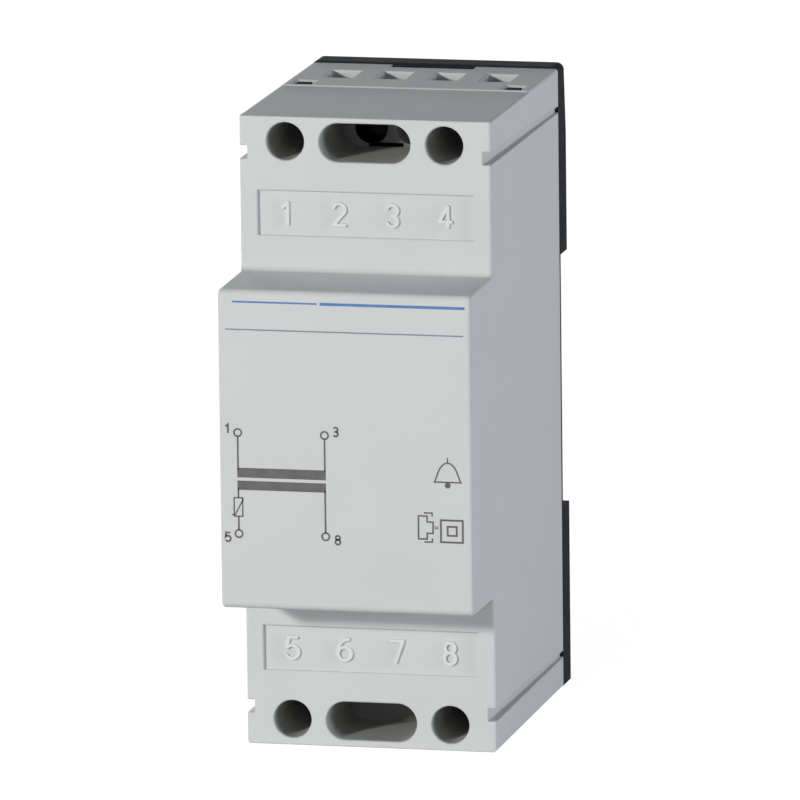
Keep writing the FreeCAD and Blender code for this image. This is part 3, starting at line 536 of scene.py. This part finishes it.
# A stepped box outline between two angle pieces, with a short double dash beside it.
def printBoxSymbol():
    shape = bmesh.new()
    inkLine(shape, printing["box"], printing["boxLine"], closed=True)
    for angle in printing["angles"]:
        inkLine(shape, angle, printing["boxLine"])
    for dash in printing["dashes"]:
        inkLine(shape, dash, printing["dashLine"])
    makePiece("printedBoxSymbol", shape, "darkInk", "body")


def printRules():
    shape = bmesh.new()
    high = printing["ruleHeight"]
    stop, start = printing["ruleBreak"]
    inkLine(shape, [(printing["ruleLeft"], high), (stop, high)], printing["leadRule"])
    inkLine(shape, [(start, high), (printing["ruleRight"], high)], printing["thickRule"])
    makePiece("printedUpperRule", shape, "blueInk", "body")
    shape = bmesh.new()
    low = printing["thinRuleHeight"]
    inkLine(shape, [(x, low) for x in printing["thinRuleSpan"]], printing["thinRule"])
    makePiece("printedLowerRule", shape, "slateInk", "body")


printCircuit()
printSymbols()
printBoxSymbol()
printRules()
print("nose printed")


# Terminal screws with a rolled thread, a chamfered slotted head and a pointed end.

screwSizes = {
    "pitch": 0.6,
    "crest": 1.75,  # radius over the thread
    "threadDepth": 0.28,
    "threadShape": ((0.0, 0), (0.12, 0), (0.44, 1), (0.56, 1), (0.88, 0)),  # along a pitch, height
    "threadFade": 0.4,
    "headEdge": 0.25,
    "discEdge": (0.02, 0.05),  # at the slot's floor: how far in, and how far down
    "sink": 0.02,  # of the half discs into the full one
    "slotWidth": 0.8,
    "slotDepth": 1.0,
    "headLength": 2.0,
    "underHead": 0.15,
    "point": 0.6,
    "pointShare": 0.55,
    "overlap": 0.1,
    "sides": 28,
}


# The shank: each row of points climbs one pitch per turn, so that the crests run as one thread.
def threadShank(shape, middle, crest, start, end):
    pitch, depth, sides = screwSizes["pitch"], screwSizes["threadDepth"], screwSizes["sides"]
    runOut = screwSizes["threadFade"]
    turns = math.ceil((end - start) / pitch) + 1
    rows = []
    for turn in range(-1, turns):
        for share, height in screwSizes["threadShape"]:
            row = []
            for i in range(sides + 1):
                angle = math.tau * i / sides
                along = start + (turn + share + i / sides) * pitch
                kept = min(max(along, start), end)
                fade = min(1, (kept - start) / runOut, (end - kept) / runOut)
                radius = crest - depth * (1 - height * max(0, fade))
                x, z = middle[0] + radius * math.sin(angle), middle[1] + radius * math.cos(angle)
                row.append((x, kept, z))
            rows.append(row)
    made = [[shape.verts.new(point) for point in row] for row in rows]
    for first, second in zip(made, made[1:]):
        for i in range(sides):
            shape.faces.new((first[i], first[i + 1], second[i + 1], second[i]))
    for row in (made[0], made[-1]):
        shape.faces.new(row[:sides])


# A head as two half discs on a full disc, so that the slot is open at both ends.
def slottedHead(shape, middle, radius, front, back, sides=20):
    rim, half = screwSizes["headEdge"], screwSizes["slotWidth"] / 2
    floor, under = front + screwSizes["slotDepth"], screwSizes["underHead"]
    inward, down = screwSizes["discEdge"]
    disc = [(radius - inward, floor), (radius, floor + down)]
    disc += [(radius, back - under), (radius - under, back)]
    skinRings(shape, [ringAt(middle, reach, depth, 2 * sides) for reach, depth in disc])
    for side in (-1, 1):
        rings = []
        foot = floor + screwSizes["sink"]
        for reach, depth in ((radius - rim, front), (radius, front + rim), (radius, foot)):
            start = math.degrees(math.asin(half / reach))
            arc = arcPoints((0, 0), reach, start, 180 - start, sides)
            rings.append([(middle[0] + x, depth, middle[1] + side * z) for x, z in arc])
        skinRings(shape, rings)


def makeScrew(number):
    low, high = (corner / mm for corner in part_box(f"terminal_screw_{number}"))
    middle = ((low.x + high.x) / 2, (low.z + high.z) / 2)
    neck = low.y + screwSizes["headLength"]
    crest, sides, overlap = screwSizes["crest"], screwSizes["sides"], screwSizes["overlap"]
    root = crest - screwSizes["threadDepth"]
    point = high.y - screwSizes["point"]
    shape = bmesh.new()
    slottedHead(shape, middle, (high.x - low.x) / 2, low.y, neck)
    threadShank(shape, middle, crest, neck + overlap, point)
    collar = (neck - overlap, neck + 1.5 * overlap)
    skinRings(shape, [ringAt(middle, root, depth, sides) for depth in collar])
    end = root * screwSizes["pointShare"]
    tip = ((root, point - overlap), (root, point + overlap), (end, high.y))
    skinRings(shape, [ringAt(middle, radius, depth, sides) for radius, depth in tip])
    makePiece(
        f"threadedScrew{number}", shape, "zincSteel", f"screw_{number}",
        standsFor=(f"terminal_screw_{number}",), sharpAbove=32,
    )


for number in (1, 3, 5, 8):
    makeScrew(number)
print("screws threaded")


# The coils, wound turn on turn. The primary has a wrap of tape, and the secondary shows its wire.

coilSizes = {
    "corner": 2.5,
    "cornerSteps": 6,
    "hole": (9.35, 8.95),  # half width and half depth of the bobbin's tube
    "holeCorner": 0.3,
    "wires": {"primary": 0.42, "secondary": 0.95},
    "wireShape": ((0.02, 0.40), (0.15, 0.15), (0.5, 0), (0.85, 0.15)),  # along a turn, how deep
    "tape": 0.16,
    "tapeMargin": 0.9,
}


def coilOutline(middle, wide, deep, corner):
    points = []
    for x, y, start in ((1, 1, 0), (-1, 1, 90), (-1, -1, 180), (1, -1, 270)):
        turn = (x * (wide - corner), middle + y * (deep - corner))
        points += arcPoints(turn, corner, start, start + 90, coilSizes["cornerSteps"])
    return points


def windCoil(winding, low, high, wide, deep):
    middle, corner = (low.y + high.y) / 2, coilSizes["corner"]
    turns = round((high.z - low.z) / coilSizes["wires"][winding])
    wire = (high.z - low.z) / turns
    rings = []
    for turn in range(turns):
        for share, dip in coilSizes["wireShape"]:
            inset, z = dip * wire, low.z + (turn + share) * wire
            outline = coilOutline(middle, wide - inset, deep - inset, corner - inset)
            rings.append([(x, y, z) for x, y in outline])
    hole = coilOutline(middle, *coilSizes["hole"], coilSizes["holeCorner"])
    rings += [[(x, y, z) for x, y in hole] for z in (high.z, low.z)]
    shape = bmesh.new()
    skinRings(shape, rings, joined=True)
    makePiece(
        f"{winding}Turns", shape, "copperEnamel", "body",
        standsFor=(f"{winding}_winding",), sharpAbove=60,
    )


def wrapTape(winding, low, high, wide, deep):
    middle, corner, tape = (low.y + high.y) / 2, coilSizes["corner"], coilSizes["tape"]
    foot, head = low.z + coilSizes["tapeMargin"], high.z - coilSizes["tapeMargin"]
    rings = []
    for out, z in ((tape, foot), (tape, head), (0, head), (0, foot)):
        outline = coilOutline(middle, wide + out, deep + out, corner)
        rings.append([(x, y, z) for x, y in outline])
    shape = bmesh.new()
    skinRings(shape, rings, joined=True)
    makePiece(f"{winding}Tape", shape, "coilTape", "body")


def makeCoil(winding):
    low, high = (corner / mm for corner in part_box(f"{winding}_winding"))
    taped = winding == "primary"
    tape = coilSizes["tape"] if taped else 0
    wide, deep = high.x - tape, (high.y - low.y) / 2 - tape
    windCoil(winding, low, high, wide, deep)
    if taped:
        wrapTape(winding, low, high, wide, deep)


# The disc's half profile: shares of its radius, and of its thickness from the front.
thermistorSizes = {
    "sides": 36,
    "profile": (
        (0.30, 0), (0.72, 0.03), (0.90, 0.14), (0.98, 0.32), (1, 0.5),
        (0.98, 0.68), (0.90, 0.86), (0.72, 0.97), (0.30, 1),
    ),
}


def makeThermistor():
    low, high = (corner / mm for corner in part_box("thermistor"))
    middle = ((low.x + high.x) / 2, (low.z + high.z) / 2)
    radius, flat = (high.x - low.x) / 2, high.y - low.y
    rings = []
    for share, depth in thermistorSizes["profile"]:
        rings.append(ringAt(middle, radius * share, low.y + flat * depth, thermistorSizes["sides"]))
    shape = bmesh.new()
    skinRings(shape, rings)
    makePiece(
        "thermistorDisc", shape, "thermistorCoat", "body",
        standsFor=("thermistor",), sharpAbove=60,
    )


for winding in coilSizes["wires"]:
    makeCoil(winding)
makeThermistor()
print("coils wound")


# The latch's spring: a strip with rounded edges, which the latch squeezes as it is pulled down.

springSizes = {
    "thickness": 0.5,
    "edge": 0.12,
    "legs": 5,
    "steps": 12,
    "travel": 3.0,
}


def springPath(low, high):
    thick, legs, steps = springSizes["thickness"], springSizes["legs"], springSizes["steps"]
    rise = (high.z - low.z - thick) / (legs - 1)
    radius = rise / 2
    run = (high.x - low.x) / 2 - radius - thick / 2
    points = []
    for i in range(legs):
        way = 1 if i % 2 == 0 else -1
        z = low.z + thick / 2 + i * rise
        points.append((-way * run, z))
        if i < legs - 1:
            points += arcPoints((way * run, z + radius), radius, -90, -90 + way * 180, steps)
    return points + [(way * run, z)]


# The strip's cross section: how far out from its middle line, and how far back.
def stripSection(flat, wide, edge):
    quarter = [(flat, wide - edge), (flat - edge, wide)]
    half = quarter + [(-out, deep) for out, deep in reversed(quarter)]
    return half + [(-out, -deep) for out, deep in half]


def makeLatchSpring():
    low, high = (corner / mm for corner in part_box("latch_spring"))
    wide, middle = (high.y - low.y) / 2, (high.y + low.y) / 2
    section = stripSection(springSizes["thickness"] / 2, wide, springSizes["edge"])
    points = [Vector(point) for point in springPath(low, high)]
    rings = []
    for i, point in enumerate(points):
        way = (points[min(i + 1, len(points) - 1)] - points[max(i - 1, 0)]).normalized()
        ring = []
        for out, deep in section:
            ring.append((point.x - way.y * out, middle + deep, point.y + way.x * out))
        rings.append(ring)
    shape = bmesh.new()
    skinRings(shape, rings)
    spring = makePiece(
        "latchSpringStrip", shape, "springSteel", "body",
        standsFor=("latch_spring",), sharpAbove=50,
    )
    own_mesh(spring)


makeLatchSpring()
print("latch spring bent")


# Thin linings of the screw holes and the long pockets, in dark colours: painted shade where little
# light reaches the plastic

wells = {
    "gap": 0.01,
    "wall": 0.05,
    "lip": 0.25,
    "mouth": -17.5,
    "pocketRear": -4.1,
    "holeRear": 2.4,
    "axisHeights": {"Upper": 86.3, "Lower": 3.7},
    "outerHole": (11.4, 2.75),
    "innerHole": (3.8, 2.5),
    "spareHole": (-2.1, 2.4),
    "pocket": (3.8, 2.8),
    "slit": (2.5, 0.65),  # half its length, and its height
    "steps": 18,
    "rimSteps": 40,
}


# A long hole's outline: half circles of this radius at both ends, and a circle where reach is 0.
def wellOutline(x, z, reach, radius):
    right = arcPoints((x + reach, z), radius, -90, 90, wells["steps"])
    left = arcPoints((x - reach, z), radius, 90, 270, wells["steps"])
    return (right + left)[: None if reach else -1]


# A thin lining of painted shade in a hole from start to end, and a floor in it where it is shut.
def lineHole(shape, insetOutline, start, end, shut=False):
    gap, wall = wells["gap"], wells["wall"]
    floor = end - wall if shut else end
    rings = []
    for inset, depth in ((gap + wall, floor), (gap + wall, start), (gap, start), (gap, end)):
        rings.append([(x, depth, z) for x, z in insetOutline(inset)])
    skinRings(shape, rings, joined=not shut)


def lineWell(shape, x, z, reach, radius, start, end, shut=False):
    lineHole(shape, lambda inset: wellOutline(x, z, reach, radius - inset), start, end, shut)


# The blind hole and the slit in the upper pocket's back wall: lined to the end with the darkest
# painted shade.
def lineBlinds(shape, z):
    start, end = wells["pocketRear"], wells["holeRear"]
    x, radius = wells["spareHole"]
    lineWell(shape, x, z, 0, radius, start, end, shut=True)
    reach, tall = wells["slit"]
    foot = z - wells["pocket"][1]

    def slitOutline(inset):
        side, low, high = reach - inset, foot + inset, foot + tall - inset
        return [(-side, low), (side, low), (side, high), (-side, high)]

    lineHole(shape, slitOutline, start, end, shut=True)


# A plate with holes: the first line is its edge, and the others are the holes.
def cutPlate(shape, lines, front, back):
    flat = [[Vector((x, z, 0)) for x, z in line] for line in lines]
    layers = []
    for depth in (front, back):
        layers.append([[shape.verts.new((x, depth, z)) for x, z in line] for line in lines])
    for layer in layers:
        corners = [corner for line in layer for corner in line]
        for triangle in tessellate_polygon(flat):
            shape.faces.new([corners[i] for i in triangle])
    for near, far in zip(*layers):
        for i in range(len(near)):
            shape.faces.new((near[i - 1], near[i], far[i], far[i - 1]))


# The back wall of a pocket, a plate of painted shade. The upper one has a round hole that meets a
# slit, and a screw's hole.
def backWall(shape, end, z):
    reach, radius = wells["pocket"]
    inside = radius - wells["gap"]
    foot = z - inside
    lines = [wellOutline(0, z, reach, inside)]
    if end == "Upper":
        spareX, spareRadius = wells["spareHole"]
        slitReach, slitTall = wells["slit"]
        slitTop = z - radius + slitTall
        first = math.degrees(math.asin((spareX + slitReach) / spareRadius))
        last = math.degrees(math.acos((z - slitTop) / spareRadius))
        hole = arcPoints((spareX, z), spareRadius, -90 - first, -450 + last, wells["rimSteps"])
        lines[0] += [(-slitReach, foot)] + hole + [(slitReach, slitTop), (slitReach, foot)]
        screwX, screwRadius = wells["innerHole"]
        lines.append(circlePoints((screwX, z), screwRadius, 36))
    back = wells["pocketRear"] - wells["gap"]
    cutPlate(shape, lines, back - wells["wall"], back)


def makeWellShade():
    mouth, pocketRear = wells["mouth"] + wells["lip"], wells["pocketRear"]
    holeRear = wells["holeRear"]
    for end, z in wells["axisHeights"].items():
        shape = bmesh.new()
        x, radius = wells["outerHole"]
        for side in (-x, x):
            lineWell(shape, side, z, 0, radius, mouth, holeRear)
        lineWell(shape, 0, z, *wells["pocket"], mouth, pocketRear - wells["gap"])
        if end == "Upper":
            x, radius = wells["innerHole"]
            lineWell(shape, x, z, 0, radius, pocketRear, holeRear)
        makePiece(f"screwWellShade{end}", shape, "wellPaintedShade", "body")
        shape = bmesh.new()
        backWall(shape, end, z)
        makePiece(f"pocketBackShade{end}", shape, "wellShade", "body")
    shape = bmesh.new()
    lineBlinds(shape, wells["axisHeights"]["Upper"])
    makePiece("blindHoleShade", shape, "wellPaintedDeepShade", "body")


makeWellShade()
print("wells lined")


# Camera, lamps and floor

view = {
    "turn": 13.16,
    "rise": 11.04,
    "roll": -0.67,
    "distance": 1827.0,
    "aim": (0.0, -17.5, 45.0),
    "slide": (-4.483, -4.770),
    "lens": 586.8,
    "sensor": 36.0,
    "nearest": 50.0,
}


def placeCamera():
    turn, rise, roll = (math.radians(view[key]) for key in ("turn", "rise", "roll"))
    level = math.cos(rise)
    back = Vector((math.sin(turn) * level, -math.cos(turn) * level, math.sin(rise)))
    right = Vector((math.cos(turn), math.sin(turn), 0))
    up = back.cross(right)
    across = math.cos(roll) * right + math.sin(roll) * up
    upward = math.cos(roll) * up - math.sin(roll) * right
    place = Vector(view["aim"]) + view["distance"] * back
    place -= view["slide"][0] * across + view["slide"][1] * upward
    lens = bpy.data.cameras.new("studioCamera")
    lens.lens = view["lens"]
    lens.sensor_width = view["sensor"]
    lens.sensor_fit = "HORIZONTAL"
    lens.clip_start = view["nearest"] * mm
    camera = bpy.data.objects.new("studioCamera", lens)
    bpy.context.scene.collection.objects.link(camera)
    axes = Matrix((across, upward, back)).transposed().to_4x4()
    camera.matrix_world = Matrix.Translation(place * mm) @ axes
    bpy.context.scene.camera = camera


lamps = {
    "keyLamp": {
        "from": (-0.60, -1.0, 0.34), "distance": 1500, "size": 160, "power": 14.2,
        "colour": (1.0, 0.985, 0.97),
    },
    "frontLamp": {
        "from": (-0.04, -1.0, 0.07), "distance": 1500, "size": 260, "power": 2.1,
        "colour": (0.96, 0.98, 1.0),
    },
    "sideLamp": {
        "from": (1.0, -0.16, 0.12), "distance": 1500, "size": 500, "power": 9.6,
        "colour": (0.885, 0.91, 1.0),
    },
    "rearLamp": {
        "from": (-0.45, 1.0, 0.05), "distance": 1500, "size": 200, "power": 16.0,
        "colour": (0.98, 0.99, 1.0),
    },
}


def hangLamps():
    aim = Vector(view["aim"]) * mm
    for name, lamp in lamps.items():
        light = bpy.data.lights.new(name, "AREA")
        light.shape = "DISK"
        light.size = lamp["size"] * mm
        light.energy = lamp["power"]
        light.color = lamp["colour"]
        holder = bpy.data.objects.new(name, light)
        bpy.context.scene.collection.objects.link(holder)
        way = Vector(lamp["from"]).normalized()
        holder.location = aim + way * lamp["distance"] * mm
        holder.rotation_euler = way.to_track_quat("Z", "Y").to_euler()


studio = {
    "ambient": 0.14,
    "ambientColour": (0.86, 0.94, 1.0),
    "floorColour": (0.80, 0.80, 0.80),
    "floorReach": 3000,
    "floorDrop": 0.05,
    "floorWhite": 0.93,
    "shadowShare": 0.28,
    "backdropWhite": 1.0,
}


# 1 where the camera sees this directly, in a reflection or through something clear.
def seenDirectly(tree):
    path = addNode(tree, "ShaderNodeLightPath")
    total = path.outputs["Is Camera Ray"]
    for name in ("Is Glossy Ray", "Is Transmission Ray"):
        larger = addNode(tree, "ShaderNodeMath", operation="MAXIMUM")
        tree.links.new(total, larger.inputs[0])
        tree.links.new(path.outputs[name], larger.inputs[1])
        total = larger.outputs[0]
    return total


def lightWorld():
    world = bpy.data.worlds.new("studioWorld")
    world.use_nodes = True
    tree = world.node_tree
    soft = tree.nodes["Background"]
    soft.inputs["Color"].default_value = (*studio["ambientColour"], 1)
    soft.inputs["Strength"].default_value = studio["ambient"]
    white = addNode(tree, "ShaderNodeBackground", {"Color": (1, 1, 1, 1)})
    white.inputs["Strength"].default_value = studio["backdropWhite"]
    mixer = addNode(tree, "ShaderNodeMixShader")
    tree.links.new(seenDirectly(tree), mixer.inputs[0])
    tree.links.new(soft.outputs[0], mixer.inputs[1])
    tree.links.new(white.outputs[0], mixer.inputs[2])
    tree.links.new(mixer.outputs[0], tree.nodes["World Output"].inputs["Surface"])
    bpy.context.scene.world = world


def layFloor():
    finish = bpy.data.materials.new("studioFloor")
    finish.use_nodes = True
    tree = finish.node_tree
    tree.nodes.remove(tree.nodes["Principled BSDF"])
    real = addNode(tree, "ShaderNodeBsdfDiffuse", {"Color": (*studio["floorColour"], 1)})
    glow = addNode(tree, "ShaderNodeEmission", {"Strength": studio["floorWhite"]})
    share = studio["shadowShare"]
    shadow = addNode(tree, "ShaderNodeBsdfDiffuse", {"Color": (share, share, share, 1)})
    seen = addNode(tree, "ShaderNodeAddShader")
    mixer = addNode(tree, "ShaderNodeMixShader")
    tree.links.new(glow.outputs[0], seen.inputs[0])
    tree.links.new(shadow.outputs[0], seen.inputs[1])
    tree.links.new(seenDirectly(tree), mixer.inputs[0])
    tree.links.new(real.outputs[0], mixer.inputs[1])
    tree.links.new(seen.outputs[0], mixer.inputs[2])
    tree.links.new(mixer.outputs[0], tree.nodes["Material Output"].inputs["Surface"])
    shape = bmesh.new()
    reach, height = studio["floorReach"] * mm, -studio["floorDrop"] * mm
    corners = [(-reach, -reach), (reach, -reach), (reach, reach), (-reach, reach)]
    shape.faces.new([shape.verts.new((x, y, height)) for x, y in corners])
    mesh = bpy.data.meshes.new("studioFloor")
    shape.to_mesh(mesh)
    shape.free()
    mesh.materials.append(finish)
    floor = bpy.data.objects.new("studioFloor", mesh)
    bpy.context.scene.collection.objects.link(floor)


placeCamera()
hangLamps()
lightWorld()
layFloor()
bpy.context.scene.view_settings.view_transform = "Standard"
print("studio ready")
